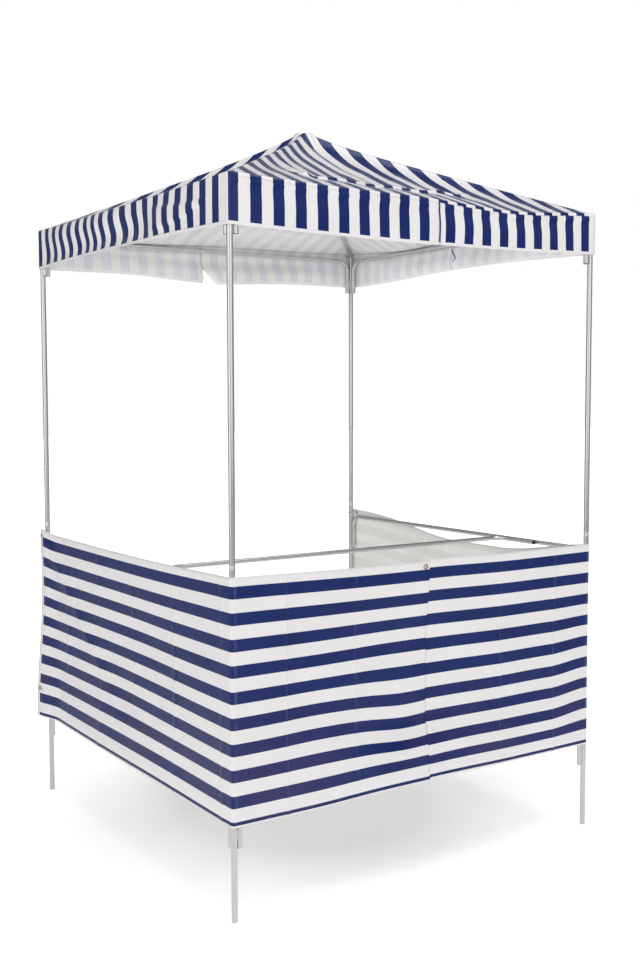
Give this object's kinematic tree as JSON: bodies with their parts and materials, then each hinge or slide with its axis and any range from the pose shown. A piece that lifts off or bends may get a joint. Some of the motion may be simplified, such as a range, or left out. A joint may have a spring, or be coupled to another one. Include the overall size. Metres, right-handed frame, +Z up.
{
  "type": "market stall with a tubular steel frame",
  "caption": "Plug-together market stall of bent steel tube with a striped hipped canopy, a valance and a striped skirt around an open counter frame, open at the back.",
  "frame": {"origin": "on the floor in the middle of the four legs", "axes": "+Z up, -Y towards the customers in front, +X to the right as they see it from behind the camera"},
  "size_m": [1.4836, 1.4836, 2.5195],
  "materials": {
    "galvanised_steel": "galvanised, slightly glossy",
    "black_plastic": "matte moulded",
    "canopy_sheet": "navy and white striped coated sheet, slightly glossy",
    "skirt_sheet": "navy and white striped coated sheet, slightly glossy"
  },
  "bodies": {
    "root": {"leg_front_left": "galvanised_steel", "leg_front_right": "galvanised_steel", "leg_back_left": "galvanised_steel", "leg_back_right": "galvanised_steel", "post_front_left": "galvanised_steel", "post_front_right": "galvanised_steel", "post_back_left": "galvanised_steel", "post_back_right": "galvanised_steel", "eave_rail_front_left": "galvanised_steel", "eave_rail_front_right": "galvanised_steel", "eave_rail_back_left": "galvanised_steel", "eave_rail_back_right": "galvanised_steel", "eave_rail_left_front": "galvanised_steel", "eave_rail_left_back": "galvanised_steel", "eave_rail_right_front": "galvanised_steel", "eave_rail_right_back": "galvanised_steel", "counter_rail_front_left": "galvanised_steel", "counter_rail_front_right": "galvanised_steel", "counter_rail_left_front": "galvanised_steel", "counter_rail_left_back": "galvanised_steel", "counter_rail_right_front": "galvanised_steel", "counter_rail_right_back": "galvanised_steel", "lower_rail_front_left": "galvanised_steel", "lower_rail_front_right": "galvanised_steel", "lower_rail_left_front": "galvanised_steel", "lower_rail_left_back": "galvanised_steel", "lower_rail_right_front": "galvanised_steel", "lower_rail_right_back": "galvanised_steel", "counter_cross_rail": "galvanised_steel", "rafter_front_left": "galvanised_steel", "rafter_front_right": "galvanised_steel", "rafter_back_left": "galvanised_steel", "rafter_back_right": "galvanised_steel", "roof_hub": "galvanised_steel", "cross_rail_plugs": "black_plastic", "canopy_front": "canopy_sheet", "canopy_right": "canopy_sheet", "canopy_back": "canopy_sheet", "canopy_left": "canopy_sheet", "skirt_front": "skirt_sheet", "skirt_left": "skirt_sheet", "skirt_right": "skirt_sheet"}
  },
  "joints": []
}
